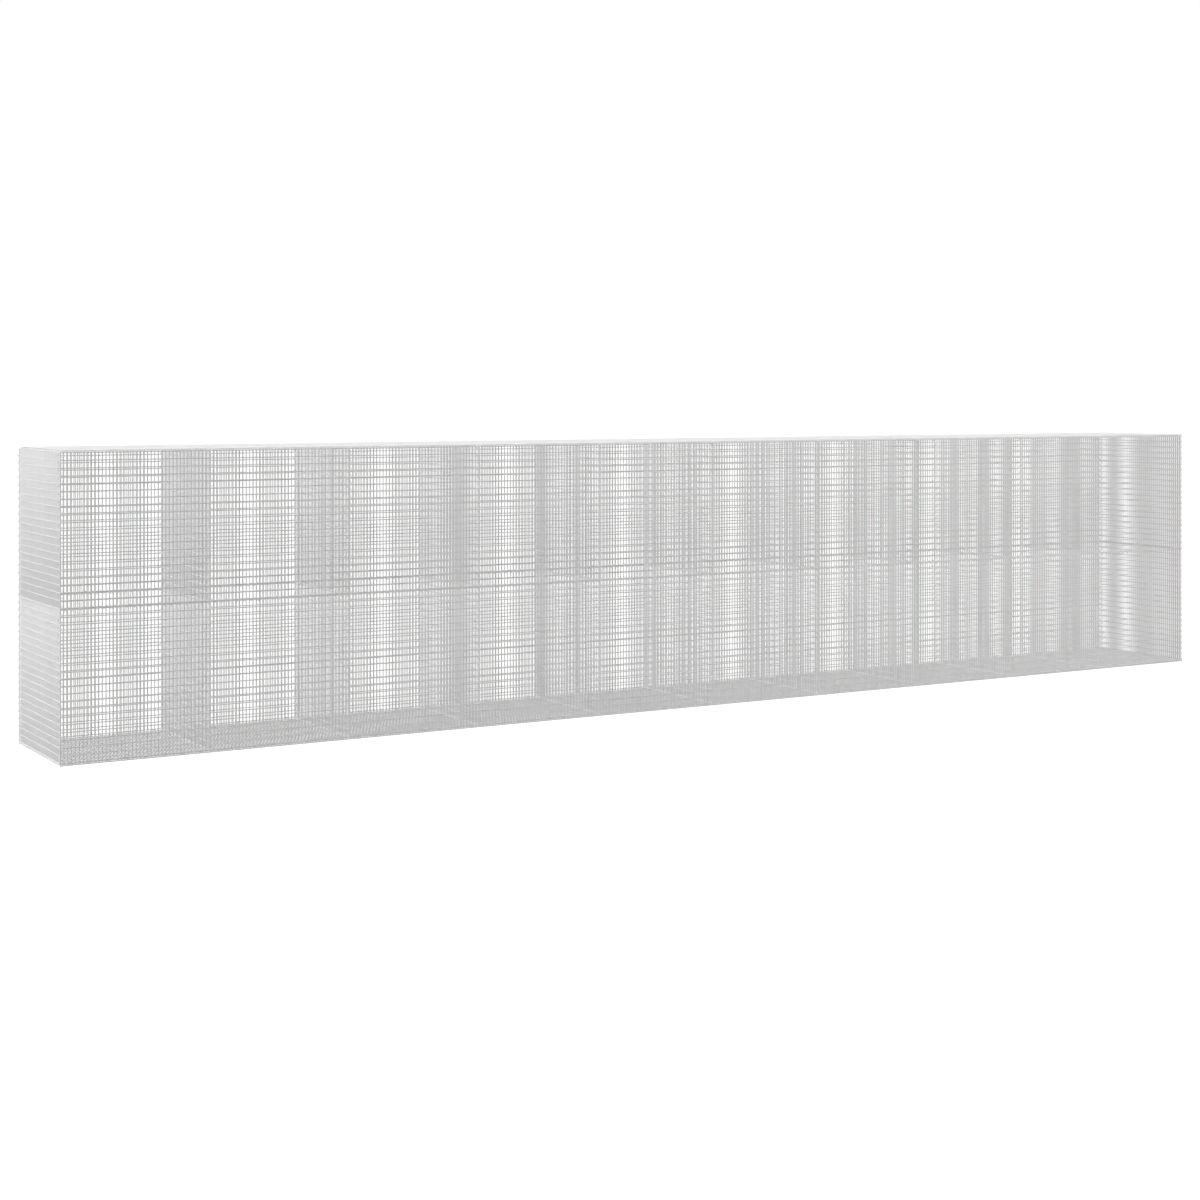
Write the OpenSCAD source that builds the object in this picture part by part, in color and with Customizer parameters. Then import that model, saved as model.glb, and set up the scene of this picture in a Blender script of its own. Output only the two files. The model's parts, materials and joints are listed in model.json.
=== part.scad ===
// Gabion wall: a long empty cage of welded wire mesh, ten bays in a row and two tiers high.
// Front, back, end and dividing panels stand on a mesh floor, and each bay has a hinged mesh lid.
// All sizes are in millimetres. X runs along the wall, the front faces -Y, and Z is up from the floor.

/* [Wall] */
// Length of one bay along the wall
bay_l = 1000; // [600:10:1400]
// Depth of the wall from front to back
wall_d = 1000; // [500:10:1500]
// Height of one tier of panels
tier_h = 1000; // [600:10:1300]

/* [Mesh] */
// Diameter of the mesh wire
wire_d = 7; // [4:0.5:9]
// Gap between the lower and the upper panel at the tier seam
tier_gap = 0.4; // [0.3:0.1:2]
// Gap between neighbouring floor panels
floor_gap = 0.4; // [0.3:0.1:4]

/* [Lids] */
// Clear gap between neighbouring lids
lid_gap = 6; // [5.5:0.5:20]
// Gap between a closed lid's rear rod and the panel below it
lid_seat = 0.8; // [0.7:0.1:3]
// How much thicker than the mesh wire a lid's rear rod is, which turns in the spiral binder
rod_extra = 1; // [0.5:0.5:3]

/* [Binders] */
// Wire diameter of the spiral binders
binder_d = 3; // [2:0.5:5]
// Clearance between a binder turn and the wires it holds together
binder_play = 0.8; // [0.7:0.1:2]

/* [Hidden] */
// Number of bays, tiers and coarse mesh cells each way in one panel
bays = 10;
tiers = 2;
cells = 5;
// Whole length and height of the panels
wall_l = bays * bay_l;
wall_h = tiers * tier_h;
// A welded panel is two layers of wire thick
panel_t = 2 * wire_d;
// Distance between the panels of one tier's front and back
inner_d = wall_d - 2 * panel_t;
// Upright panels start on top of the floor mesh
lower_h = tier_h - panel_t - tier_gap / 2;
upper_h = tier_h - tier_gap / 2;
upper_z = tier_h + tier_gap / 2;
// Lid width, its rod, and the depth and height of its hinge line
lid_w = bay_l - lid_gap;
rod_d = wire_d + rod_extra;
hinge_y = wall_d / 2 - panel_t / 2;
hinge_z = wall_h + lid_seat + rod_d / 2;
// Height and half height of the wires that a lid binder holds, from the panel's top wire to the rod
lid_bind_z = (wall_h - wire_d + wall_h + lid_seat + rod_d) / 2;
lid_bind_half = (wire_d + lid_seat + rod_d) / 2;
// One radius serves the lid and tier binders, to the centre of the binder wire
tier_bind_half = wire_d + tier_gap / 2;
ring_r = norm([panel_t / 2, max(lid_bind_half, tier_bind_half)]) + binder_play + binder_d / 2;
// A tier binder hangs on the upper of the two wires it goes around
tier_sag = sqrt(pow(ring_r - binder_d / 2, 2) - pow(panel_t / 2, 2)) - tier_bind_half - binder_play / 8;
// The binders on upright seams also go around the edge wire of a divider
seam_y = wall_d / 2 - (panel_t + wire_d) / 2;
seam_r = norm([panel_t / 2, (panel_t + wire_d) / 2]) + binder_play + binder_d / 2;

// Middle of bay i along the wall, counted from 1 at the left
function bay_x(i) = -wall_l / 2 + (i - 0.5) * bay_l;
// Clear width of one mesh cell in a panel of length l
function cell_w(l) = (l - (cells + 1) * wire_d) / cells;
// Middle of mesh cell k, counted from 0, in a panel of length l
function cell_mid(l, k) = wire_d + cell_w(l) / 2 + k * (cell_w(l) + wire_d);

// Flat lattice of square bars, w wide and h high, with its lower left corner at the origin
module lattice(w, h) {
    difference() {
        square([w, h]);
        for (i = [0 : cells - 1], j = [0 : cells - 1])
            translate([wire_d + i * (cell_w(w) + wire_d), wire_d + j * (cell_w(h) + wire_d)])
                square([cell_w(w), cell_w(h)]);
    }
}

// Lower and upper lattice standing one over the other, w wide along X and panel_t deep along Y
module upright_pair(w) {
    translate([-w / 2, panel_t / 2, panel_t])
        rotate([90, 0, 0]) linear_extrude(panel_t) lattice(w, lower_h);
    translate([-w / 2, panel_t / 2, upper_z])
        rotate([90, 0, 0]) linear_extrude(panel_t) lattice(w, upper_h);
}

// One turn of a spiral binder lying in the XY plane
module turn(r) {
    rotate_extrude($fn = 32) translate([r - binder_d / 2, -binder_d / 2]) square(binder_d);
}

// Front mesh of bay i, in its two tiers
module front_panel(i) {
    color("silver") translate([bay_x(i), -wall_d / 2 + panel_t / 2, 0]) upright_pair(bay_l);
}

// Back mesh of bay i, in its two tiers
module back_panel(i) {
    color("silver") translate([bay_x(i), wall_d / 2 - panel_t / 2, 0]) upright_pair(bay_l);
}

// Cross mesh between bay i and the next one
module divider(i) {
    color("silver") translate([bay_x(i) + bay_l / 2, 0, 0]) rotate(90) upright_pair(inner_d);
}

// Cross mesh that closes the wall on the left
module left_end_panel() {
    color("silver") translate([-wall_l / 2 + panel_t / 2, 0, 0]) rotate(90) upright_pair(inner_d);
}

// Cross mesh that closes the wall on the right
module right_end_panel() {
    color("silver") translate([wall_l / 2 - panel_t / 2, 0, 0]) rotate(90) upright_pair(inner_d);
}

// Floor mesh, one panel under each bay
module base_panels() {
    color("silver") for (i = [1 : bays])
        translate([bay_x(i) - (bay_l - floor_gap) / 2, -wall_d / 2, 0])
            linear_extrude(panel_t) lattice(bay_l - floor_gap, wall_d);
}

// Mesh lid of bay i with its round rear rod on the hinge line
module lid(i) {
    lid_d = hinge_y + wall_d / 2;
    color("gainsboro") translate([bay_x(i), hinge_y, hinge_z]) {
        translate([-lid_w / 2, -lid_d, -wire_d / 2]) linear_extrude(wire_d) difference() {
            square([lid_w, lid_d]);
            for (c = [0 : cells - 1], j = [0 : cells - 1])
                translate([wire_d + c * (cell_w(lid_w) + wire_d), wire_d + j * (cell_w(lid_d) + wire_d)])
                    square([cell_w(lid_w), cell_w(lid_d) + (j == cells - 1 ? 2 * wire_d : 0)]);
        }
        rotate([0, 90, 0]) cylinder(d = rod_d, h = lid_w, center = true, $fn = 32);
    }
}

// Binder turns on the upright seams at the front and at the back, where bays meet and at the corners
module seam_spirals() {
    color("darkgray") for (s = [0 : bays], side = [-1, 1], k = [0 : 2 : cells - 1], t = [0, 1]) {
        inset = s == 0 ? panel_t / 2 : s == bays ? -panel_t / 2 : 0;
        z = t == 0 ? panel_t + cell_mid(lower_h, k) : upper_z + cell_mid(upper_h, k);
        translate([-wall_l / 2 + s * bay_l + inset, side * seam_y, z]) turn(seam_r);
    }
}

// Binder turns on the level seam between the lower and the upper tier, at the front and at the back
module tier_spirals() {
    color("darkgray") for (i = [1 : bays], side = [-1, 1], k = [0 : 2 : cells - 1])
        translate([bay_x(i) - bay_l / 2 + cell_mid(bay_l, k), side * hinge_y, tier_h - tier_sag])
            rotate([0, 90, 0]) turn(ring_r);
}

// Binder turns that hold the lids' rear rods to the top wire of the back panels
module lid_spirals() {
    color("darkgray") for (i = [1 : bays], k = [0 : 2 : cells - 1])
        translate([bay_x(i) - bay_l / 2 + cell_mid(bay_l, k), hinge_y, lid_bind_z])
            rotate([0, 90, 0]) turn(ring_r);
}

for (i = [1 : bays]) front_panel(i);
for (i = [1 : bays]) back_panel(i);
for (i = [1 : bays - 1]) divider(i);
left_end_panel();
right_end_panel();
base_panels();
for (i = [1 : bays]) lid(i);
seam_spirals();
tier_spirals();
lid_spirals();
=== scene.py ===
"""Looks of an empty gabion wall: welded wire mesh panels, wire spirals and a plain studio.

All sizes are in metres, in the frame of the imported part: X along the wall, front towards -Y, Z up.
"""

import json
import logging
import math
from abc import ABC, abstractmethod
from dataclasses import asdict, astuple, dataclass
from enum import Enum, IntEnum
from itertools import product
from typing import Any

import bpy
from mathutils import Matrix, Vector

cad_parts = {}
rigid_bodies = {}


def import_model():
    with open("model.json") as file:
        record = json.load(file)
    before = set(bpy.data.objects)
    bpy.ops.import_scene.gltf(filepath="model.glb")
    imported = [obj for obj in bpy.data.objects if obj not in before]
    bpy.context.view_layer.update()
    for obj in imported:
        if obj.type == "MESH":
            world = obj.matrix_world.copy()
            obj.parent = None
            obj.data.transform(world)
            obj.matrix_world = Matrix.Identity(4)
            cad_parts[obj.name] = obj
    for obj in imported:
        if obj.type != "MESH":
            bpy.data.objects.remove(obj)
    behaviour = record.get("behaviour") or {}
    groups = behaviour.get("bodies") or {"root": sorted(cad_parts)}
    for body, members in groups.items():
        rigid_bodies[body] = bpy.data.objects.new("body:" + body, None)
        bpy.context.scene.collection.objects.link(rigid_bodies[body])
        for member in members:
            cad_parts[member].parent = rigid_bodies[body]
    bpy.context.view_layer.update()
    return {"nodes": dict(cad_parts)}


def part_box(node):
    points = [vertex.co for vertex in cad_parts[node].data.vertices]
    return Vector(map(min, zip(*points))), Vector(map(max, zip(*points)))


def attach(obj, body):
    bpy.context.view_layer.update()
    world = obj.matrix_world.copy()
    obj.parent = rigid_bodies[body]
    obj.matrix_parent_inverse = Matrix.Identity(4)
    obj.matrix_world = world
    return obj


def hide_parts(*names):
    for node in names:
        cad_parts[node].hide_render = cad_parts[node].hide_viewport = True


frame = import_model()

Socket = bpy.types.NodeSocket
Triple = tuple[float, float, float]
Colour = tuple[float, float, float, float]

LOG = logging.getLogger("gabion_wall")
WALL_BODY = "wall"
QUARTER_TURN = math.pi / 2
WHITE: Colour = (1.0, 1.0, 1.0, 1.0)


class Axis(Enum):
    """Which way a spiral runs, as the turn that takes it there from straight up."""

    ALONG = (0.0, QUARTER_TURN, 0.0)
    ACROSS = (-QUARTER_TURN, 0.0, 0.0)
    UP = (0.0, 0.0, 0.0)


class Facing(Enum):
    """Which way the outer layer of a mesh sheet looks, as the sheet's turn."""

    FRONT = (0.0, 0.0, 0.0)
    BACK = (0.0, 0.0, 2 * QUARTER_TURN)
    LEFT = (0.0, 0.0, -QUARTER_TURN)
    RIGHT = (0.0, 0.0, QUARTER_TURN)
    DOWN = (QUARTER_TURN, 0.0, 0.0)


class Run(Enum):
    """Which way the wires of one layer of a sheet run; the value sets their random tones apart."""

    UPRIGHT = 0
    LEVEL = 2


class Mark(Enum):
    """What a tree stores on each wire for its finish to read, as the attribute's name."""

    TONE = "wire_tone"
    FADE = "wire_fade"
    GRAIN = "wire_grain"


class Blend(Enum):
    """What a Mix node blends, as the numbers of its two inputs and its output."""

    FLOAT = (2, 3, 0)
    RGBA = (6, 7, 2)


class Seed(IntEnum):
    """Number that the seeds of each kind of piece are counted from, for its random tones."""

    FRONT = 0
    BACK = 100
    DIVIDER = 200
    LEFT_END = 301
    RIGHT_END = 302
    FLOOR = 400
    LID = 500
    LID_ROD = 550
    SEAM = 600
    TIER = 640
    LID_TURN = 660
    FLOOR_TURN = 680


class Graph:
    """A node tree that is written one node at a time."""

    def __init__(self, tree: bpy.types.NodeTree) -> None:
        """Keeps the tree.

        Args:
            tree: The node tree that nodes are added to.
        """
        self.tree = tree

    @classmethod
    def cleared(cls, owner: bpy.types.Material | bpy.types.World) -> "Graph":
        """Starts the nodes of a material or of the surroundings afresh.

        Args:
            owner: The material or the world.

        Returns:
            Its node tree, with no nodes yet.
        """
        owner.use_nodes = True
        owner.node_tree.nodes.clear()
        return cls(owner.node_tree)

    def add(
        self, kind: str, inputs: dict[Any, Any] | None = None, **settings: Any
    ) -> bpy.types.Node:
        """Adds one node.

        Args:
            kind: Blender's name of the node type.
            inputs: Values or output sockets for the node's inputs, by name or number.
            **settings: The node's own properties, such as its operation.

        Returns:
            The new node.
        """
        node = self.tree.nodes.new(kind)
        for name, value in settings.items():
            setattr(node, name, value)
        for key, value in (inputs or {}).items():
            if isinstance(value, Socket):
                self.tree.links.new(value, node.inputs[key])
            else:
                node.inputs[key].default_value = value
        return node

    def math(self, operation: str, *values: Any) -> Socket:
        """Adds a Math node.

        Args:
            operation: The operation's name, such as MULTIPLY.
            *values: Numbers or sockets, in order.

        Returns:
            The node's Value socket.
        """
        node = self.add("ShaderNodeMath", dict(enumerate(values)), operation=operation)
        return node.outputs[0]

    def vector(self, x: Any = 0.0, y: Any = 0.0, z: Any = 0.0) -> Socket:
        """Adds a Combine XYZ node and returns its vector."""
        return self.add("ShaderNodeCombineXYZ", {"X": x, "Y": y, "Z": z}).outputs[0]

    def mix(self, blend: Blend, share: Socket, first: Socket, second: Socket) -> Socket:
        """Adds a Mix node.

        Args:
            blend: What is blended.
            share: How much of the second is taken, from 0 to 1.
            first: Socket of the first colour or number.
            second: Socket of the second one.

        Returns:
            Socket of the blend.
        """
        low, high, out = blend.value
        given = {0: share, low: first, high: second}
        return self.add("ShaderNodeMix", given, data_type=blend.name).outputs[out]


class PieceTree:
    """A Geometry Nodes tree that adds one kind of wirework to what its object already has.

    Attributes:
        PLACING: Inputs of every tree, which place a row of like parts and dress it.
        GRAIN_STRETCH: Scale of the drawn lines along a wire.
    """

    PLACING = {
        "Count": "NodeSocketInt",
        "Step": "NodeSocketVector",
        "Turn": "NodeSocketRotation",
        "Place": "NodeSocketVector",
        "Finish": "NodeSocketMaterial",
        "Wire": "NodeSocketFloat",
        "Seed": "NodeSocketInt",
    }
    GRAIN_STRETCH = 0.02

    def __init__(self, name: str, sizes: tuple[str, ...], counts: tuple[str, ...] = ()) -> None:
        """Makes an empty tree with named inputs.

        Args:
            name: The tree's name.
            sizes: Labels of its own inputs that are numbers.
            counts: Labels of its own inputs that are whole numbers.
        """
        self.tree = bpy.data.node_groups.new(name, "GeometryNodeTree")
        face = self.tree.interface
        face.new_socket("Geometry", in_out="INPUT", socket_type="NodeSocketGeometry")
        own = {**dict.fromkeys(sizes, "NodeSocketFloat"), **dict.fromkeys(counts, "NodeSocketInt")}
        self.ids = {
            label: face.new_socket(label, in_out="INPUT", socket_type=kind).identifier
            for label, kind in {**own, **self.PLACING}.items()
        }
        face.new_socket("Geometry", in_out="OUTPUT", socket_type="NodeSocketGeometry")
        self.graph = Graph(self.tree)
        self.given = self.graph.add("NodeGroupInput").outputs

    def close(self, *parts: Socket) -> None:
        """Places the parts in a row, realizes them, sets their material and adds them to the input.

        Args:
            *parts: Geometry sockets of the parts, in the piece's own frame.
        """
        g, given = self.graph, self.given
        row = g.add("GeometryNodeMeshLine", {"Count": given["Count"], "Offset": given["Step"]})
        copies = g.add(
            "GeometryNodeInstanceOnPoints",
            {"Points": row.outputs[0], "Instance": self.joined(*parts), "Rotation": given["Turn"]},
        )
        placed = g.add(
            "GeometryNodeTransform", {"Geometry": copies.outputs[0], "Translation": given["Place"]}
        )
        real = g.add("GeometryNodeRealizeInstances", {"Geometry": placed.outputs[0]})
        dressed = g.add(
            "GeometryNodeSetMaterial", {"Geometry": real.outputs[0], "Material": given["Finish"]}
        )
        g.add("NodeGroupOutput", {0: self.joined(given["Geometry"], dressed.outputs[0])})

    def joined(self, *parts: Socket) -> Socket:
        """Joins parts into one; their links are made from the last to the first.

        Args:
            *parts: Geometry sockets.

        Returns:
            Geometry socket of the whole.
        """
        whole = self.graph.add("GeometryNodeJoinGeometry")
        for part in reversed(parts):
            self.tree.links.new(part, whole.inputs[0])
        return whole.outputs[0]

    def wire(self, path: Socket, sides: int) -> Socket:
        """Sweeps a round wire of the tree's Wire diameter along a path.

        Args:
            path: Curve socket.
            sides: Sides of the wire's section.

        Returns:
            Mesh socket of the closed wire.
        """
        g = self.graph
        radius = g.math("MULTIPLY", self.given["Wire"], 0.5)
        ring = g.add("GeometryNodeCurvePrimitiveCircle", {"Resolution": sides, "Radius": radius})
        return g.add(
            "GeometryNodeCurveToMesh",
            {"Curve": path, "Profile Curve": ring.outputs[0], "Fill Caps": True},
        ).outputs[0]

    def grained(self, piece: Socket, stretch: Triple) -> Socket:
        """Stores the place that the drawn lines are worked out from, squeezed along the wire.

        Args:
            piece: Geometry socket, in the piece's own frame.
            stretch: Scale of the place along X, Y and Z.

        Returns:
            Geometry socket with the attribute.
        """
        g = self.graph
        place = g.add("GeometryNodeInputPosition").outputs[0]
        drawn = g.add("ShaderNodeVectorMath", {0: place, 1: stretch}, operation="MULTIPLY")
        return self.note(piece, Mark.GRAIN, drawn.outputs[0], kind="FLOAT_VECTOR")

    def toned(self, piece: Socket) -> Socket:
        """Stores one random tone for the whole piece.

        Args:
            piece: Geometry socket.

        Returns:
            Geometry socket with the attribute.
        """
        g = self.graph
        same = g.add("FunctionNodeInputInt", integer=0).outputs[0]
        given = {"ID": same, "Seed": self.given["Seed"]}
        tone = g.add("FunctionNodeRandomValue", given, data_type="FLOAT")
        return self.note(piece, Mark.TONE, tone.outputs[1])

    def note(
        self, piece: Socket, mark: Mark, value: Socket, kind: str = "FLOAT", domain: str = "POINT"
    ) -> Socket:
        """Stores an attribute that the finish reads.

        Args:
            piece: Geometry socket.
            mark: Which attribute it is.
            value: What is stored.
            kind: The attribute's data type.
            domain: Where it is stored.

        Returns:
            Geometry socket with the attribute.
        """
        return self.graph.add(
            "GeometryNodeStoreNamedAttribute",
            {"Geometry": piece, "Name": mark.value, "Value": value},
            data_type=kind,
            domain=domain,
        ).outputs[0]


class SheetTree(PieceTree):
    """Welded mesh: level wires in the outer layer, upright wires behind them, sunk into each other.

    A Side of -1 puts the level wires in the inner layer.

    Attributes:
        SIDES: Sides of a wire's section.
        EDGE_CLEAN: How much of the dust is missing from the outermost upright wires.
    """

    SIDES = 8
    EDGE_CLEAN = 0.25

    def __init__(self) -> None:
        """Builds the tree."""
        super().__init__(
            "welded_sheet",
            ("Width", "Height", "Edge", "Sink", "Side", "Head", "Foot", "Level", "Rim"),
            ("Columns", "Rows"),
        )
        given, g = self.given, self.graph
        apart = g.math("SUBTRACT", given["Wire"], given["Sink"])
        depth = g.math("MULTIPLY", g.math("MULTIPLY", apart, 0.5), given["Side"])
        upright = self.layer(Run.UPRIGHT, depth)
        level = self.layer(Run.LEVEL, g.math("MULTIPLY", depth, -1.0))
        self.close(upright, level)

    def layer(self, run: Run, depth: Socket) -> Socket:
        """Makes one layer of parallel wires.

        Args:
            run: Which way the wires run.
            depth: Place of the layer along Y.

        Returns:
            Mesh socket of the layer.
        """
        given, g = self.given, self.graph
        if run is Run.UPRIGHT:
            cells, edge = given["Columns"], g.math("MULTIPLY", given["Wire"], 0.5)
            pitch = self.pitch(given["Width"], edge, cells)
            start, step = g.vector(edge, depth), g.vector(pitch)
            end = g.vector(z=given["Height"])
            # Upright wires darken towards each tier's foot: painted shade.
            clean, dust, grain = self.EDGE_CLEAN, self.gathered(), (1.0, 1.0, self.GRAIN_STRETCH)
        else:
            cells, edge = given["Rows"], given["Edge"]
            pitch = self.pitch(given["Height"], edge, cells)
            start, step = g.vector(0.0, depth, edge), g.vector(z=pitch)
            end = g.vector(given["Width"])
            clean, dust, grain = given["Rim"], given["Level"], (self.GRAIN_STRETCH, 1.0, 1.0)
        line = g.add("GeometryNodeCurvePrimitiveLine", {"End": end})
        spread = g.add(
            "GeometryNodeMeshLine",
            {"Count": g.math("ADD", cells, 1.0), "Start Location": start, "Offset": step},
        )
        wires = g.add(
            "GeometryNodeInstanceOnPoints",
            {"Points": spread.outputs[0], "Instance": self.wire(line.outputs[0], self.SIDES)},
        )
        rim = g.math("MULTIPLY", self.outermost(cells), clean)
        return self.grained(self.weathered(wires.outputs[0], run, rim, dust), grain)

    def weathered(self, wires: Socket, run: Run, rim: Socket, dust: Socket) -> Socket:
        """Makes the wires of a layer real, with their tone and their share of dust and painted shade
        stored on them.

        Args:
            wires: Geometry socket of the wires, as instances.
            run: Which way they run.
            rim: How much of the dust and painted shade is missing from each wire, which is also its
                least tone.
            dust: Share of dust and painted shade where none is missing.

        Returns:
            Mesh socket with the attributes.
        """
        g = self.graph
        seed = g.math("ADD", self.given["Seed"], float(run.value))
        tone = g.add("FunctionNodeRandomValue", {"Seed": seed}, data_type="FLOAT").outputs[1]
        toned = self.note(wires, Mark.TONE, g.math("MAXIMUM", tone, rim), domain="INSTANCE")
        kept = self.note(toned, Mark.FADE, g.math("SUBTRACT", 1.0, rim), domain="INSTANCE")
        real = g.add("GeometryNodeRealizeInstances", {"Geometry": kept})
        share = g.add(
            "GeometryNodeInputNamedAttribute", {"Name": Mark.FADE.value}, data_type="FLOAT"
        )
        fade = g.math("MULTIPLY", dust, share.outputs[0])
        return self.note(real.outputs[0], Mark.FADE, fade)

    def outermost(self, cells: Socket) -> Socket:
        """Tells the sheet's outermost wires, as 1, from those between them, as 0.

        Args:
            cells: Number of gaps between wires.

        Returns:
            Value socket, for each wire.
        """
        g = self.graph
        index = g.add("GeometryNodeInputIndex").outputs[0]
        past_first = g.math("GREATER_THAN", index, 0.5)
        before_last = g.math("LESS_THAN", index, g.math("SUBTRACT", cells, 0.5))
        return g.math("SUBTRACT", 1.0, g.math("MULTIPLY", past_first, before_last))

    def pitch(self, span: Socket, edge: Socket, cells: Socket) -> Socket:
        """Works out the distance between wires that end half a wire from the sheet's far edge.

        Args:
            span: Size of the sheet across the wires.
            edge: Distance of the first wire from the near edge.
            cells: Number of gaps between wires.

        Returns:
            Value socket of the pitch.
        """
        g = self.graph
        half = g.math("MULTIPLY", self.given["Wire"], 0.5)
        return g.math("DIVIDE", g.math("SUBTRACT", g.math("SUBTRACT", span, edge), half), cells)

    def gathered(self) -> Socket:
        """Works out the share of dust and painted shade on upright wires, from Head at the sheet's
        top to Foot at its foot; the rise towards the foot is painted shade.

        Returns:
            Value socket, for each point.
        """
        g, given = self.graph, self.given
        place = g.add("GeometryNodeInputPosition").outputs[0]
        height = g.add("ShaderNodeSeparateXYZ", {0: place}).outputs["Z"]
        rise = g.math("DIVIDE", height, given["Height"])
        span = g.math("SUBTRACT", given["Head"], given["Foot"])
        return g.math("MULTIPLY_ADD", rise, span, given["Foot"])


class RodTree(PieceTree):
    """Straight round rods along X.

    Attributes:
        SIDES: Sides of a rod's section.
    """

    SIDES = 12

    def __init__(self) -> None:
        """Builds the tree."""
        super().__init__("straight_rod", ("Length",))
        g = self.graph
        line = g.add("GeometryNodeCurvePrimitiveLine", {"End": g.vector(self.given["Length"])})
        rod = self.wire(line.outputs[0], self.SIDES)
        self.close(self.toned(self.grained(rod, (self.GRAIN_STRETCH, 1.0, 1.0))))


class SpiralTree(PieceTree):
    """Wire spirals: round wire wound about the Z axis from the origin upwards.

    Attributes:
        STEPS: Straight steps in one turn.
        SIDES: Sides of the wire's section.
        GRAIN_STRETCH: Scale of the drawn lines along the spiral.
    """

    STEPS = 12
    SIDES = 6
    GRAIN_STRETCH = 0.3

    def __init__(self) -> None:
        """Builds the tree."""
        super().__init__("wire_spiral", ("Length", "Turns", "Radius", "Phase", "Dust"))
        given, g = self.given, self.graph
        line = g.add("GeometryNodeCurvePrimitiveLine", {"End": g.vector(z=given["Length"])})
        count = g.math("ADD", g.math("MULTIPLY", given["Turns"], float(self.STEPS)), 1.0)
        fine = g.add("GeometryNodeResampleCurve", {"Curve": line.outputs[0], "Count": count})
        factor = g.add("GeometryNodeSplineParameter").outputs["Factor"]
        turns = g.math("MULTIPLY", factor, given["Turns"])
        angle = g.math("MULTIPLY_ADD", turns, 4 * QUARTER_TURN, given["Phase"])
        round_x = g.math("MULTIPLY", given["Radius"], g.math("COSINE", angle))
        round_y = g.math("MULTIPLY", given["Radius"], g.math("SINE", angle))
        wound = g.add(
            "GeometryNodeSetPosition",
            {"Geometry": fine.outputs[0], "Offset": g.vector(round_x, round_y)},
        )
        wire = self.wire(wound.outputs[0], self.SIDES)
        coil = self.toned(self.grained(wire, (1.0, 1.0, self.GRAIN_STRETCH)))
        self.close(self.note(coil, Mark.FADE, given["Dust"]))


class ShaderGroup:
    """A shader node group with named inputs and outputs."""

    def __init__(self, name: str, inputs: dict[str, str], outputs: dict[str, str]) -> None:
        """Makes an empty group.

        Args:
            name: The group's name.
            inputs: Socket type for each named input.
            outputs: Socket type for each named output.
        """
        self.tree = bpy.data.node_groups.new(name, "ShaderNodeTree")
        for label, kind in inputs.items():
            self.tree.interface.new_socket(label, in_out="INPUT", socket_type=kind)
        for label, kind in outputs.items():
            self.tree.interface.new_socket(label, in_out="OUTPUT", socket_type=kind)
        self.graph = Graph(self.tree)
        self.given = self.graph.add("NodeGroupInput").outputs

    def place(self, graph: Graph, inputs: dict[str, Any]) -> bpy.types.NodeOutputs:
        """Puts the group into a material and returns its outputs."""
        return graph.add("ShaderNodeGroup", inputs, node_tree=self.tree).outputs


class ZincSkin(ShaderGroup):
    """Hot-dip zinc: soft clouds and small crystals that shift the grey from wire to wire.

    Attributes:
        CLOUD_SCALE: Scale of the clouds.
        CLOUD_DETAIL: Finer layers in the clouds.
        CLOUD_SHARE: Weight of the clouds in the grey.
        CRYSTAL_SCALE: Scale of the crystals.
        CRYSTAL_SHARE: Weight of the crystals in the grey.
        TONE_SHARE: Weight of the wire's own tone in the grey.
    """

    CLOUD_SCALE = 9.0
    CLOUD_DETAIL = 3.0
    CLOUD_SHARE = 0.5
    CRYSTAL_SCALE = 160.0
    CRYSTAL_SHARE = 0.2
    TONE_SHARE = 0.3

    def __init__(self) -> None:
        """Builds the group."""
        super().__init__(
            "zinc_skin",
            {
                "Place": "NodeSocketVector",
                "Tone": "NodeSocketFloat",
                "Fade": "NodeSocketFloat",
                "Bright": "NodeSocketColor",
                "Dull": "NodeSocketColor",
                "Dusty": "NodeSocketColor",
                "Smooth": "NodeSocketFloat",
                "Rough": "NodeSocketFloat",
            },
            {"Color": "NodeSocketColor", "Roughness": "NodeSocketFloat"},
        )
        g, given = self.graph, self.given
        clouds = g.add(
            "ShaderNodeTexNoise",
            {"Vector": given["Place"], "Scale": self.CLOUD_SCALE, "Detail": self.CLOUD_DETAIL},
        )
        crystals = g.add(
            "ShaderNodeTexVoronoi", {"Vector": given["Place"], "Scale": self.CRYSTAL_SCALE}
        )
        glint = g.add("ShaderNodeSeparateColor", {0: crystals.outputs["Color"]}).outputs[0]
        cloudy = g.math("MULTIPLY", clouds.outputs[0], self.CLOUD_SHARE)
        mottled = g.math("ADD", cloudy, g.math("MULTIPLY", glint, self.CRYSTAL_SHARE))
        share = g.math("ADD", mottled, g.math("MULTIPLY", given["Tone"], self.TONE_SHARE))
        zinc = g.mix(Blend.RGBA, share, given["Dull"], given["Bright"])
        # Blends the zinc towards the dust grey by Fade; the blend is dust and painted shade.
        dusted_and_shaded = g.mix(Blend.RGBA, given["Fade"], zinc, given["Dusty"])
        rough = g.mix(Blend.FLOAT, share, given["Rough"], given["Smooth"])
        g.add("NodeGroupOutput", {"Color": dusted_and_shaded, "Roughness": rough})


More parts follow.
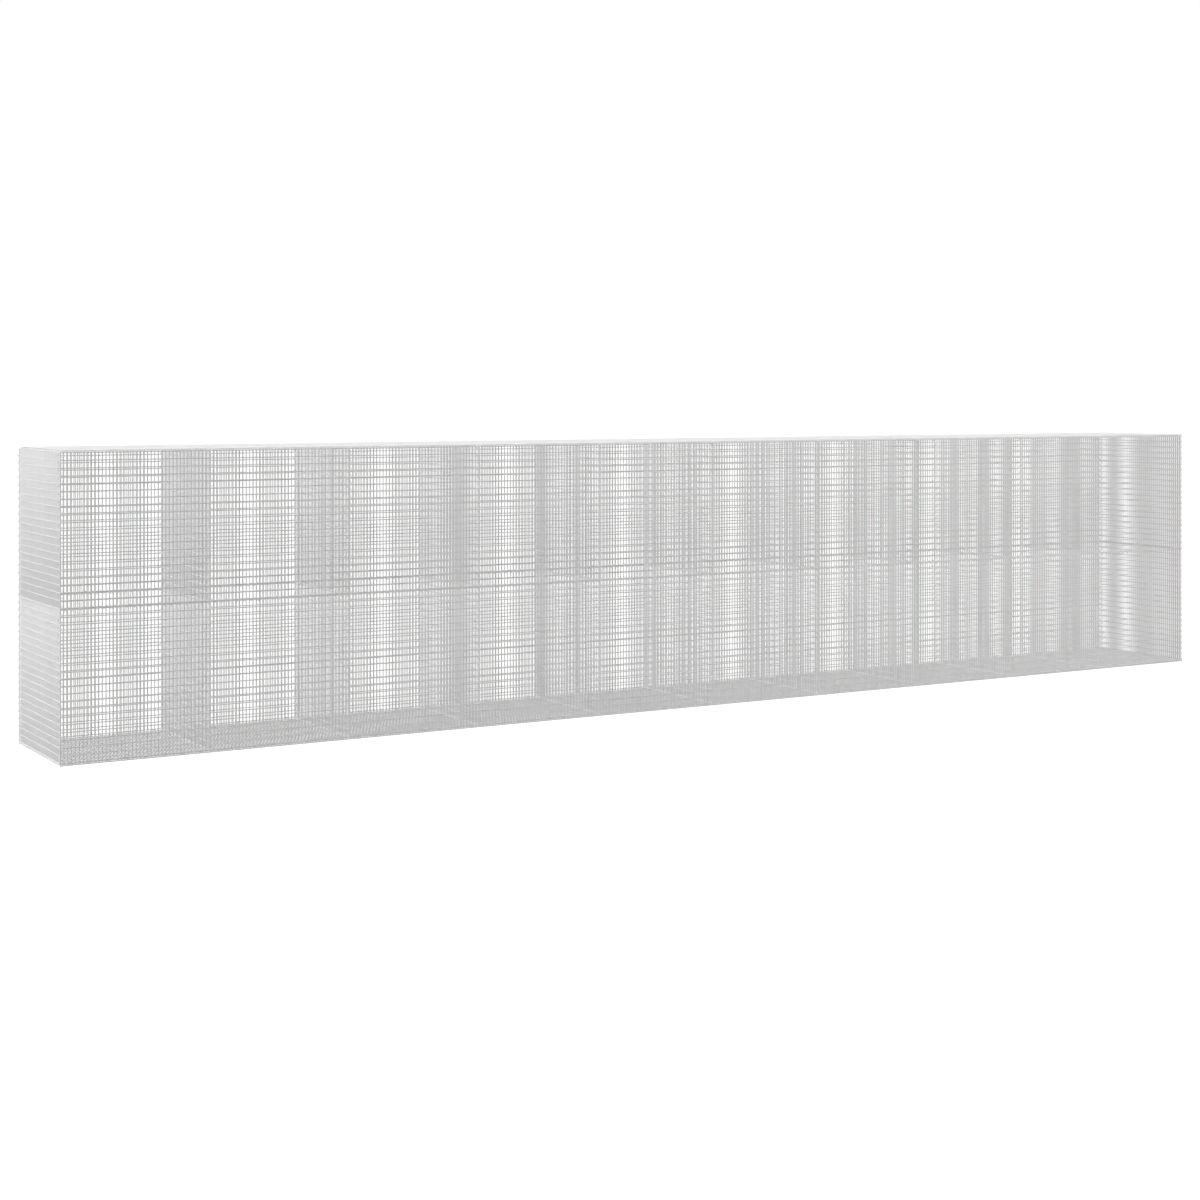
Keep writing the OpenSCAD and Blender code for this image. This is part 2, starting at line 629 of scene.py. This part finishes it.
class DrawnLines(ShaderGroup):
    """Fine lines along a drawn wire, from a place that is squeezed along the wire.

    Attributes:
        LINE_SCALE: Scale of the lines across the wire.
        LINE_DETAIL: Finer layers in the lines.
    """

    LINE_SCALE = 1400.0
    LINE_DETAIL = 2.0

    def __init__(self) -> None:
        """Builds the group."""
        super().__init__(
            "drawn_lines",
            {"Grain": "NodeSocketVector", "Depth": "NodeSocketFloat"},
            {"Height": "NodeSocketFloat"},
        )
        g, given = self.graph, self.given
        lines = g.add(
            "ShaderNodeTexNoise",
            {"Vector": given["Grain"], "Scale": self.LINE_SCALE, "Detail": self.LINE_DETAIL},
        )
        g.add("NodeGroupOutput", {"Height": g.math("MULTIPLY", lines.outputs[0], given["Depth"])})


def grey(tone: float) -> Colour:
    """Makes a neutral grey of the given tone."""
    return tone, tone, tone, 1.0


@dataclass(frozen=True)
class ZincFinish:
    """Galvanised wire, as a mottled grey metal.

    Attributes:
        name: The material's name.
        slot: The record's material slot.
        bright: Grey of the fresh zinc.
        dull: Grey of the dull zinc.
        dusty: Grey of the dust and painted shade on it.
        smooth: Roughness of the fresh zinc.
        rough: Roughness of the dull zinc.
        metallic: How much of the surface reflects as a metal.
        lines: Height of the drawn lines.
        relief: How strongly the drawn lines are lit.
    """

    name: str
    slot: str
    bright: float
    dull: float
    dusty: float
    smooth: float = 0.38
    rough: float = 0.6
    metallic: float = 0.35
    lines: float = 0.00012
    relief: float = 0.5

    def material(self, skin: ZincSkin, lines: DrawnLines) -> bpy.types.Material:
        """Builds the material.

        Args:
            skin: Group for colour and roughness.
            lines: Group for the drawn lines.

        Returns:
            The new material.
        """
        made = bpy.data.materials.new(self.name)
        g = Graph.cleared(made)
        stored = {mark: g.add("ShaderNodeAttribute", attribute_name=mark.value) for mark in Mark}
        zinc = skin.place(
            g,
            {
                "Place": g.add("ShaderNodeTexCoord").outputs["Object"],
                "Tone": stored[Mark.TONE].outputs["Fac"],
                "Fade": stored[Mark.FADE].outputs["Fac"],
                "Bright": grey(self.bright),
                "Dull": grey(self.dull),
                "Dusty": grey(self.dusty),
                "Smooth": self.smooth,
                "Rough": self.rough,
            },
        )
        grain = stored[Mark.GRAIN].outputs["Vector"]
        height = lines.place(g, {"Grain": grain, "Depth": self.lines})["Height"]
        bump = g.add("ShaderNodeBump", {"Height": height, "Strength": self.relief, "Distance": 1.0})
        shader = g.add(
            "ShaderNodeBsdfPrincipled",
            {
                "Base Color": zinc["Color"],
                "Roughness": zinc["Roughness"],
                "Metallic": self.metallic,
                "Normal": bump.outputs[0],
            },
        )
        g.add("ShaderNodeOutputMaterial", {"Surface": shader.outputs[0]})
        return made


@dataclass(frozen=True)
class Dust:
    """Share of dust and painted shade on the wires of a sheet; the fields are also inputs of the
    mesh tree.

    Attributes:
        head: Share on the upright wires at the sheet's top.
        foot: Share on the upright wires at its foot; what it has above head is painted shade towards
            each tier's foot.
        level: Share on the level wires.
        rim: How much of it is missing from the outermost level wires, which is also their least
            tone; it paints light on them.
    """

    head: float
    foot: float
    level: float
    rim: float = 0.0

    def towards(self, other: "Dust", share: float) -> "Dust":
        """Blends this dust with another.

        Args:
            other: The other dust.
            share: How much of the other is taken.

        Returns:
            The blend.
        """
        pairs = zip(astuple(self), astuple(other))
        return Dust(*(here + (there - here) * share for here, there in pairs))


@dataclass
class Wirework:
    """The trees and finishes that every sub-assembly of the wall is made with.

    Attributes:
        sheet: Tree of the welded mesh.
        rod: Tree of the straight rods.
        spiral: Tree of the wire spirals.
        mesh_zinc: Finish of the mesh wire.
        fresh_zinc: Lighter copy of the mesh zinc on the lids and most cross sheets; its extra
            brightness is painted light.
        binder_zinc: Finish of the spirals.
        materials: Material of each finish by its name.
        smooth_under: Largest angle between two faces that is shaded smooth.
    """

    sheet: SheetTree
    rod: RodTree
    spiral: SpiralTree
    mesh_zinc: ZincFinish
    fresh_zinc: ZincFinish
    binder_zinc: ZincFinish
    materials: dict[str, bpy.types.Material]
    smooth_under: float = math.radians(75)

    def begin(self, name: str) -> bpy.types.Object:
        """Makes an empty object for a piece.

        Args:
            name: The piece's name.

        Returns:
            The new object, at the origin.
        """
        piece = bpy.data.objects.new(name, bpy.data.meshes.new(name))
        bpy.context.scene.collection.objects.link(piece)
        return piece

    def apply(
        self, piece: bpy.types.Object, kind: PieceTree, finish: ZincFinish, **values: Any
    ) -> None:
        """Adds one tree to a piece, with its inputs set by their identifiers.

        Args:
            piece: The object.
            kind: The tree.
            finish: The finish of what the tree makes.
            **values: Input values by their labels in lower case.
        """
        modifier = piece.modifiers.new(kind.tree.name, "NODES")
        modifier.node_group = kind.tree
        given = {"count": 1, "step": (0.0, 0.0, 0.0), "turn": (0.0, 0.0, 0.0), **values}
        for label, value in given.items():
            modifier[kind.ids[label.capitalize()]] = value
        modifier[kind.ids["Finish"]] = self.materials[finish.name]

    def finish(self, piece: bpy.types.Object, body: str, slot: str, *nodes: str) -> None:
        """Turns a piece into a plain mesh and puts it in the place of its CAD nodes.

        Args:
            piece: The object with its trees.
            body: CAD body that it rides on.
            slot: The record's material slot; not used.
            *nodes: CAD nodes that it stands for.
        """
        view = bpy.context.evaluated_depsgraph_get()
        plain = bpy.data.meshes.new_from_object(piece.evaluated_get(view))
        piece.modifiers.clear()
        spare, piece.data = piece.data, plain
        bpy.data.meshes.remove(spare)
        plain.name = piece.name
        plain.shade_smooth()
        plain.set_sharp_from_angle(angle=self.smooth_under)
        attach(piece, body)
        if nodes:
            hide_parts(*nodes)
        triangles = sum(len(p.vertices) - 2 for p in plain.polygons)
        LOG.info("%s: %d triangles on %s", piece.name, triangles, body)


@dataclass
class WallSizes:
    """Sizes that all sub-assemblies share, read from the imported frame.

    Attributes:
        bays: Number of bays.
        bay: Length of one bay.
        depth: Depth of the wall.
        sheet: Thickness of a mesh sheet, which is two wires.
        foot: Height at which the upright sheets start.
        seam: Height of the seam between the tiers.
        top: Height of the upright sheets' top.
        wire: Diameter of the mesh wire.
        columns: Mesh cells across one bay.
        rows: Mesh cells up one tier.
        binder: Diameter of the spirals' wire.
        sink: How far crossing wires are sunk into each other at the weld.
    """

    bays: int
    bay: float
    depth: float
    sheet: float
    foot: float
    seam: float
    top: float
    wire: float
    columns: int = 40
    rows: int = 20
    binder: float = 0.003
    sink: float = 0.0006

    @classmethod
    def from_frame(cls) -> "WallSizes":
        """Reads the sizes from the first front panel and the back panel behind it.

        Returns:
            The sizes.
        """
        low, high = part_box("front_panel_1")
        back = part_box("back_panel_1")[1]
        sheet = high.y - low.y
        return cls(
            bays=sum(1 for node in frame["nodes"] if node.startswith("front_panel_")),
            bay=high.x - low.x,
            depth=back.y - low.y,
            sheet=sheet,
            foot=low.z,
            seam=high.z / 2,
            top=high.z,
            wire=sheet / 2,
        )

    @property
    def tiers(self) -> tuple[tuple[float, float], tuple[float, float]]:
        """Foot and height of the lower and the upper sheet."""
        return (self.foot, self.seam - self.foot), (self.seam, self.top - self.seam)

    @property
    def half_length(self) -> float:
        """Half the wall's length."""
        return self.bays * self.bay / 2

    @property
    def edge(self) -> float:
        """Distance of the front and back sheets' middle from the wall's middle."""
        return (self.depth - self.sheet) / 2

    @property
    def seams(self) -> tuple[tuple[float, int], ...]:
        """Place along the wall and number of the cross sheets: left end, dividers, right end."""
        corner = self.half_length - self.sheet / 2
        return (-corner, 1), (-self.half_length + self.bay, self.bays - 1), (corner, 1)

    def mesh(self, dust: Dust, **own: Any) -> dict[str, Any]:
        """Gathers inputs of the mesh tree.

        Args:
            dust: Dust and painted shade on the sheet's wires.
            **own: The sheet's own inputs, some of them in place of those that most sheets share.

        Returns:
            The inputs by their labels in lower case.
        """
        shared = {
            "columns": self.columns,
            "rows": self.rows,
            "edge": self.wire / 2,
            "sink": self.sink,
            "side": 1.0,
            "wire": self.wire,
        }
        return {**shared, **asdict(dust), **own}


@dataclass
class SubAssembly(ABC):
    """Pieces of the wall that are built together.

    Attributes:
        sizes: The wall's sizes.
        work: Trees and finishes.
    """

    sizes: WallSizes
    work: Wirework

    @abstractmethod
    def build(self) -> None:
        """Builds every piece and dresses it."""


@dataclass
class UprightMesh(SubAssembly):
    """Front, back, end and dividing sheets, each in two tiers.

    Attributes:
        first: Dust and painted shade on the front and back sheets of the first bay; their share is
            above the cross sheets' as painted shade on the sheets that the light from the left only
            grazes.
        last: Dust and painted shade on those of the last bay; less on the level wires, most of all
            the outermost ones, as a painted reflection towards the right end.
        left: Dust and painted shade on the left end sheets.
        divider: Dust and painted shade on the dividing sheets.
        right: Dust and painted shade on the right end sheets, the most of any, as painted shade on
            the end that faces away from the lamps.
        seeds_apart: Seeds from one panel to the next, which leaves one for each tier.
    """

    # The front and back sheets are darker than the cross sheets by painted shade.
    first: Dust = Dust(0.7, 0.8, 0.68)
    # Towards the last bay the level wires lighten, most of all the outermost ones: a painted
    # reflection.
    last: Dust = Dust(0.67, 0.75, 0.42, rim=0.5)
    left: Dust = Dust(0.25, 0.62, 0.68)
    divider: Dust = Dust(0.16, 0.56, 0.5)
    # The right end, which faces away from the lamps, is darkened by painted shade.
    right: Dust = Dust(1.0, 1.0, 0.7)
    seeds_apart: int = 10

    def panel(self, node: str, facing: Facing, finish: ZincFinish, dust: Dust, seed: int) -> None:
        """Builds the two tiers of one upright panel in the place of its CAD node.

        Args:
            node: CAD node, which also names the piece.
            facing: Which way the outer layer looks.
            finish: Finish of its wires.
            dust: Dust and painted shade on its wires.
            seed: Seed of the panel, which sets its wires' tones.
        """
        low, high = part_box(node)
        middle, width = (low + high) / 2, max(high.x - low.x, high.y - low.y)
        turn = facing.value[2]
        start = middle - Vector((math.cos(turn), math.sin(turn), 0)) * width / 2
        piece = self.work.begin(node + ".mesh")
        for tier, (foot, height) in enumerate(self.sizes.tiers):
            self.work.apply(
                piece,
                self.work.sheet,
                finish,
                **self.sizes.mesh(dust, width=width, height=height),
                turn=facing.value,
                place=(start.x, start.y, foot),
                seed=seed * self.seeds_apart + tier,
            )
        self.work.finish(piece, WALL_BODY, finish.slot, node)

    def build(self) -> None:
        """Builds every upright panel."""
        bays, plain, brighter = self.sizes.bays, self.work.mesh_zinc, self.work.fresh_zinc
        for i in range(1, bays + 1):
            # Blends the painted reflection on the level wires in from bay to bay.
            dust = self.first.towards(self.last, (i - 1) / (bays - 1))
            self.panel(f"front_panel_{i}", Facing.FRONT, plain, dust, Seed.FRONT + i)
            self.panel(f"back_panel_{i}", Facing.BACK, plain, dust, Seed.BACK + i)
        for i in range(1, bays):
            # The dividers and the left end take the lighter copy of the zinc: painted light from the
            # left.
            self.panel(f"divider_{i}", Facing.LEFT, brighter, self.divider, Seed.DIVIDER + i)
        self.panel("left_end_panel", Facing.LEFT, brighter, self.left, Seed.LEFT_END)
        self.panel("right_end_panel", Facing.RIGHT, plain, self.right, Seed.RIGHT_END)


@dataclass
class FloorMesh(SubAssembly):
    """Floor sheets under the bays.

    Attributes:
        dust: Dust and painted shade on the wires, which darkens the floor under the wall.
    """

    # The floor sheets' high share paints the shade under the wall.
    dust: Dust = Dust(0.8, 0.8, 0.8)

    def build(self) -> None:
        """Builds the floor sheets as one piece."""
        s, node = self.sizes, "base_panels"
        low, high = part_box(node)
        width = (high.x - low.x) / s.bays
        piece = self.work.begin(node + ".mesh")
        self.work.apply(
            piece,
            self.work.sheet,
            self.work.mesh_zinc,
            **s.mesh(self.dust, width=width, height=high.y - low.y),
            turn=Facing.DOWN.value,
            place=(low.x, high.y, s.wire - s.sink / 2),
            count=s.bays,
            step=(width, 0.0, 0.0),
            seed=Seed.FLOOR,
        )
        self.work.finish(piece, WALL_BODY, self.work.mesh_zinc.slot, node)


@dataclass
class Lids(SubAssembly):
    """Mesh lids, each with a thicker rear rod on its hinge line.

    A lid's cross wires lie on the hinge plane, so that they clear the back panel when it is open.

    Attributes:
        dust: Dust on the wires; none on the outermost level wires, which are at full tone as painted
            light on the lids' edges.
    """

    # rim=1.0 leaves the outermost level wires clean and at full tone: painted light on the lids'
    # edges.
    dust: Dust = Dust(0.6, 0.6, 0.3, rim=1.0)

    def lid(self, bay: int) -> None:
        """Builds one lid on its own body.

        Args:
            bay: Number of its bay, counted from 1 at the left.
        """
        s, work, node = self.sizes, self.work, f"lid_{bay}"
        low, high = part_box(node)
        rod, width = high.z - low.z, high.x - low.x
        hinge_y, hinge_z = high.y - rod / 2, (low.z + high.z) / 2
        reach, lift = hinge_y - low.y, (s.wire - s.sink) / 2
        cells = {"rows": s.rows - 1, "edge": reach / s.rows, "side": -1.0}
        piece = work.begin(node + ".mesh")
        work.apply(
            piece,
            work.sheet,
            # The lid takes the lighter copy of the zinc: painted light from above.
            work.fresh_zinc,
            **s.mesh(self.dust, width=width, height=reach, **cells),
            turn=Facing.DOWN.value,
            place=(low.x, hinge_y, hinge_z + lift),
            seed=Seed.LID + bay,
        )
        work.apply(
            piece,
            work.rod,
            work.mesh_zinc,
            length=width,
            wire=rod,
            place=(low.x, hinge_y, hinge_z),
            seed=Seed.LID_ROD + bay,
        )
        work.finish(piece, node, work.mesh_zinc.slot, node)

    def build(self) -> None:
        """Builds every lid."""
        for bay in range(1, self.sizes.bays + 1):
            self.lid(bay)


@dataclass
class Spirals(SubAssembly):
    """Wire spirals on the upright and the tier seams, and single turns on the lids and the floor.

    Attributes:
        play: Clearance between a turn at the floor and the wires inside it.
        turn_length: Length of a single turn's wire, in turns; its ends overlap.
        turn_width: Width of a single turn along the wall, in wire diameters.
        first_cell: Mesh cell of a bay with the first single turn.
        cell_step: Mesh cells from one single turn to the next.
        seam_dust: Share of dust on the upright spirals.
        tier_dust: Share of dust on the tier spirals.
        lid_dust: Share of dust on the lids' turns.
        floor_dust: Share of dust on the floor's turns, which darkens them as painted shade along the
            wall's foot.
    """

    play: float = 0.0003
    turn_length: float = 1.15
    turn_width: float = 1.1
    first_cell: int = 2
    cell_step: int = 5
    seam_dust: float = 0.6
    tier_dust: float = 0.6
    lid_dust: float = 0.3
    floor_dust: float = 1.0

    def row(self, piece: bpy.types.Object, axis: Axis, place: Triple, **values: Any) -> None:
        """Adds a row of like spirals, one bay apart, to a piece.

        Args:
            piece: The object.
            axis: Which way the spirals run.
            place: Start of the first spiral.
            **values: Other inputs of the spiral tree.
        """
        self.work.apply(
            piece,
            self.work.spiral,
            self.work.binder_zinc,
            wire=self.sizes.binder,
            step=(self.sizes.bay, 0.0, 0.0),
            turn=axis.value,
            place=place,
            **values,
        )

    def single_turns(self, piece: bpy.types.Object, y: float, z: float, **values: Any) -> None:
        """Adds single turns along the wall to a piece, each in the middle of a mesh cell.

        Args:
            piece: The object.
            y: Place of the turns' middle across the wall.
            z: Height of the turns' middle.
            **values: Other inputs of the spiral tree.
        """
        s = self.sizes
        cell, width = (s.bay - s.wire) / s.columns, self.turn_width * s.binder
        shape = {"length": width, "turns": self.turn_length, "phase": QUARTER_TURN, **values}
        for i in range(self.first_cell, s.columns, self.cell_step):
            start = -s.half_length + s.wire / 2 + (i + 0.5) * cell - width / 2
            self.row(piece, Axis.ALONG, (start, y, z), count=s.bays, **shape)

    def upright_seams(self) -> None:
        """Builds the spirals on the upright seams, which pass outside the level wires."""
        s, node = self.sizes, "seam_spirals"
        low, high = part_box(node)
        reach = s.seams[0][0] - low.x
        line = high.y - reach
        shape = {"turns": s.rows, "radius": reach - s.binder / 2, "dust": self.seam_dust}
        piece = self.work.begin(node + ".wire")
        for side, (foot, height) in product((-1, 1), s.tiers):
            run = {"length": height - s.binder, "phase": side * QUARTER_TURN}
            for seed, (x, count) in enumerate(s.seams, start=Seed.SEAM):
                place = (x, side * line, foot + s.binder / 2)
                self.row(piece, Axis.UP, place, **shape, **run, count=count, seed=seed)
        self.work.finish(piece, WALL_BODY, self.work.binder_zinc.slot, node)

    def tier_seams(self) -> None:
        """Builds the spirals on the tier seams, whose turns pass between the upright wires."""
        s, node = self.sizes, "tier_spirals"
        low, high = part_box(node)
        z, radius = (low.z + high.z) / 2, (high.z - low.z - s.binder) / 2
        shape = {"turns": s.columns / 2, "radius": radius, "dust": self.tier_dust}
        piece = self.work.begin(node + ".wire")
        along = {"length": s.bay, "phase": QUARTER_TURN, "count": s.bays, "seed": Seed.TIER}
        for side in (-1, 1):
            self.row(piece, Axis.ALONG, (-s.half_length, side * s.edge, z), **shape, **along)
        inner = s.depth / 2 - s.sheet
        across = {"length": 2 * inner, "phase": 0.0, "seed": Seed.TIER}
        for x, count in s.seams:
            self.row(piece, Axis.ACROSS, (x, -inner, z), **shape, **across, count=count)
        self.work.finish(piece, WALL_BODY, self.work.binder_zinc.slot, node)

    def lid_edges(self) -> None:
        """Builds the turns that hold the lids' rear rods to the back sheets."""
        s, node = self.sizes, "lid_spirals"
        low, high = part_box(node)
        z, radius = (low.z + high.z) / 2, (high.z - low.z - s.binder) / 2
        piece = self.work.begin(node + ".wire")
        self.single_turns(piece, s.edge, z, radius=radius, dust=self.lid_dust, seed=Seed.LID_TURN)
        self.work.finish(piece, WALL_BODY, self.work.binder_zinc.slot, node)

    def floor_edges(self) -> None:
        """Builds the turns that hold the floor's long edges to the front and back sheets."""
        s = self.sizes
        radius = (math.sqrt(2) + 1) * s.wire / 2 + s.binder / 2 + self.play
        # Full dust on the foot turns paints the shade along the wall's foot.
        shape = {"radius": radius, "dust": self.floor_dust, "seed": Seed.FLOOR_TURN}
        piece = self.work.begin("foot_spirals.wire")
        for side in (-1, 1):
            self.single_turns(piece, side * s.edge, 2 * s.wire, **shape)
        self.work.finish(piece, WALL_BODY, self.work.binder_zinc.slot)

    def build(self) -> None:
        """Builds the four groups of spirals and turns."""
        self.upright_seams()
        self.tier_seams()
        self.lid_edges()
        self.floor_edges()


@dataclass(frozen=True)
class Lamp:
    """A wide soft lamp, far away.

    Attributes:
        name: The lamp's name.
        tilt: How far the lamp stands from overhead towards the left, in degrees.
        strength: Light on a surface that faces it.
        spread: Width of the lamp as an angle, in degrees.
        shadows: Whether the lamp casts shadows; one that doesn't fills the inside of the wall.
    """

    name: str
    tilt: float
    strength: float
    spread: float
    shadows: bool = True

    def build(self) -> None:
        """Makes the lamp."""
        data = bpy.data.lights.new(self.name, "SUN")
        data.energy, data.angle = self.strength, math.radians(self.spread)
        data.use_shadow = data.cycles.use_multiple_importance_sampling = self.shadows
        made = bpy.data.objects.new(self.name, data)
        made.rotation_euler = (0.0, -math.radians(self.tilt), 0.0)
        bpy.context.scene.collection.objects.link(made)


@dataclass
class Studio:
    """White floor, white surroundings, soft light and the camera.

    Attributes:
        eye: Place of the camera.
        heading: Turn of the camera to the right of +Y, in degrees.
        lens: Focal length in millimetres.
        sensor: Width of the camera's sensor in millimetres.
        drop: Shift of the picture as a share of its width.
        sight: How far the camera sees.
        sky: Light from all around.
        floor_size: Length of the floor's sides.
        floor_tone: How much light the floor throws back.
        floor_glow: What lifts the floor to white where it is seen.
        lamps: The lamps.
    """

    eye: Triple = (-8.6153, -13.3256, 2.3689)
    heading: float = 30.6767
    lens: float = 60.7577
    sensor: float = 36.0
    drop: float = -0.1715
    sight: float = 400.0
    sky: float = 0.19
    floor_size: float = 400.0
    floor_tone: float = 0.5
    floor_glow: float = 0.65
    lamps: tuple[Lamp, ...] = (
        Lamp("overhead", 0.0, 0.94, 100.0, shadows=False),
        Lamp("left", 60.0, 0.92, 60.0),
        Lamp("left_fill", 60.0, 1.97, 60.0, shadows=False),
    )

    def camera(self) -> None:
        """Makes the camera at the photograph's viewing angle."""
        data = bpy.data.cameras.new("camera")
        data.sensor_width, data.lens, data.shift_y = self.sensor, self.lens, self.drop
        data.clip_end = self.sight
        made = bpy.data.objects.new("camera", data)
        made.location = self.eye
        made.rotation_euler = (QUARTER_TURN, 0.0, -math.radians(self.heading))
        bpy.context.scene.collection.objects.link(made)
        bpy.context.scene.camera = made

    def seen(self, g: Graph) -> Socket:
        """Adds the test for rays that see the surroundings as white.

        Args:
            g: Nodes of the surroundings or of the floor.

        Returns:
            Value socket, 1 for camera, glossy and transmission rays.
        """
        path = g.add("ShaderNodeLightPath").outputs
        first = g.math("MAXIMUM", path["Is Camera Ray"], path["Is Glossy Ray"])
        return g.math("MAXIMUM", first, path["Is Transmission Ray"])

    def world(self) -> None:
        """Makes white surroundings that light the wall softly."""
        world = bpy.context.scene.world = bpy.data.worlds.new("studio")
        g = Graph.cleared(world)
        soft = g.add("ShaderNodeBackground", {"Color": WHITE, "Strength": self.sky}).outputs[0]
        white = g.add("ShaderNodeBackground", {"Color": WHITE, "Strength": 1.0}).outputs[0]
        mixed = g.add("ShaderNodeMixShader", {0: self.seen(g), 1: soft, 2: white})
        g.add("ShaderNodeOutputWorld", {"Surface": mixed.outputs[0]})

    def floor(self) -> None:
        """Makes the pale floor, which keeps the wall's shadow."""
        half = self.floor_size / 2
        corners = [(-half, -half, 0), (half, -half, 0), (half, half, 0), (-half, half, 0)]
        mesh = bpy.data.meshes.new("floor")
        mesh.from_pydata(corners, [], [(0, 1, 2, 3)])
        made = bpy.data.objects.new("floor", mesh)
        bpy.context.scene.collection.objects.link(made)
        paint = bpy.data.materials.new("pale_floor")
        g = Graph.cleared(paint)
        matt = g.add("ShaderNodeBsdfDiffuse", {"Color": grey(self.floor_tone)}).outputs[0]
        glow = g.add("ShaderNodeEmission", {"Color": WHITE, "Strength": self.floor_glow}).outputs[0]
        lit = g.add("ShaderNodeAddShader", {0: matt, 1: glow}).outputs[0]
        mixed = g.add("ShaderNodeMixShader", {0: self.seen(g), 1: matt, 2: lit})
        g.add("ShaderNodeOutputMaterial", {"Surface": mixed.outputs[0]})
        mesh.materials.append(paint)

    def build(self) -> None:
        """Builds the whole studio."""
        bpy.context.scene.view_settings.view_transform = "Standard"
        self.camera()
        self.world()
        self.floor()
        for lamp in self.lamps:
            lamp.build()


def main() -> None:
    """Builds the wall's looks in order, then the studio."""
    logging.basicConfig(level=logging.INFO, format="%(message)s")
    mesh_zinc = ZincFinish("mesh_zinc", "mesh_wire", bright=0.86, dull=0.68, dusty=0.48)
    # A lighter copy of the mesh zinc, whose extra brightness is painted light on the cross sheets
    # and lids.
    fresh_zinc = ZincFinish("fresh_zinc", "mesh_wire", bright=0.97, dull=0.86, dusty=0.48)
    binder_zinc = ZincFinish("binder_zinc", "binder_wire", bright=0.84, dull=0.66, dusty=0.5)
    finishes = (mesh_zinc, fresh_zinc, binder_zinc)
    skin, lines = ZincSkin(), DrawnLines()
    materials = {finish.name: finish.material(skin, lines) for finish in finishes}
    work = Wirework(SheetTree(), RodTree(), SpiralTree(), *finishes, materials)
    sizes = WallSizes.from_frame()
    for sub_assembly in (UprightMesh, FloorMesh, Lids, Spirals):
        sub_assembly(sizes, work).build()
    Studio().build()


if __name__ == "__main__":
    main()
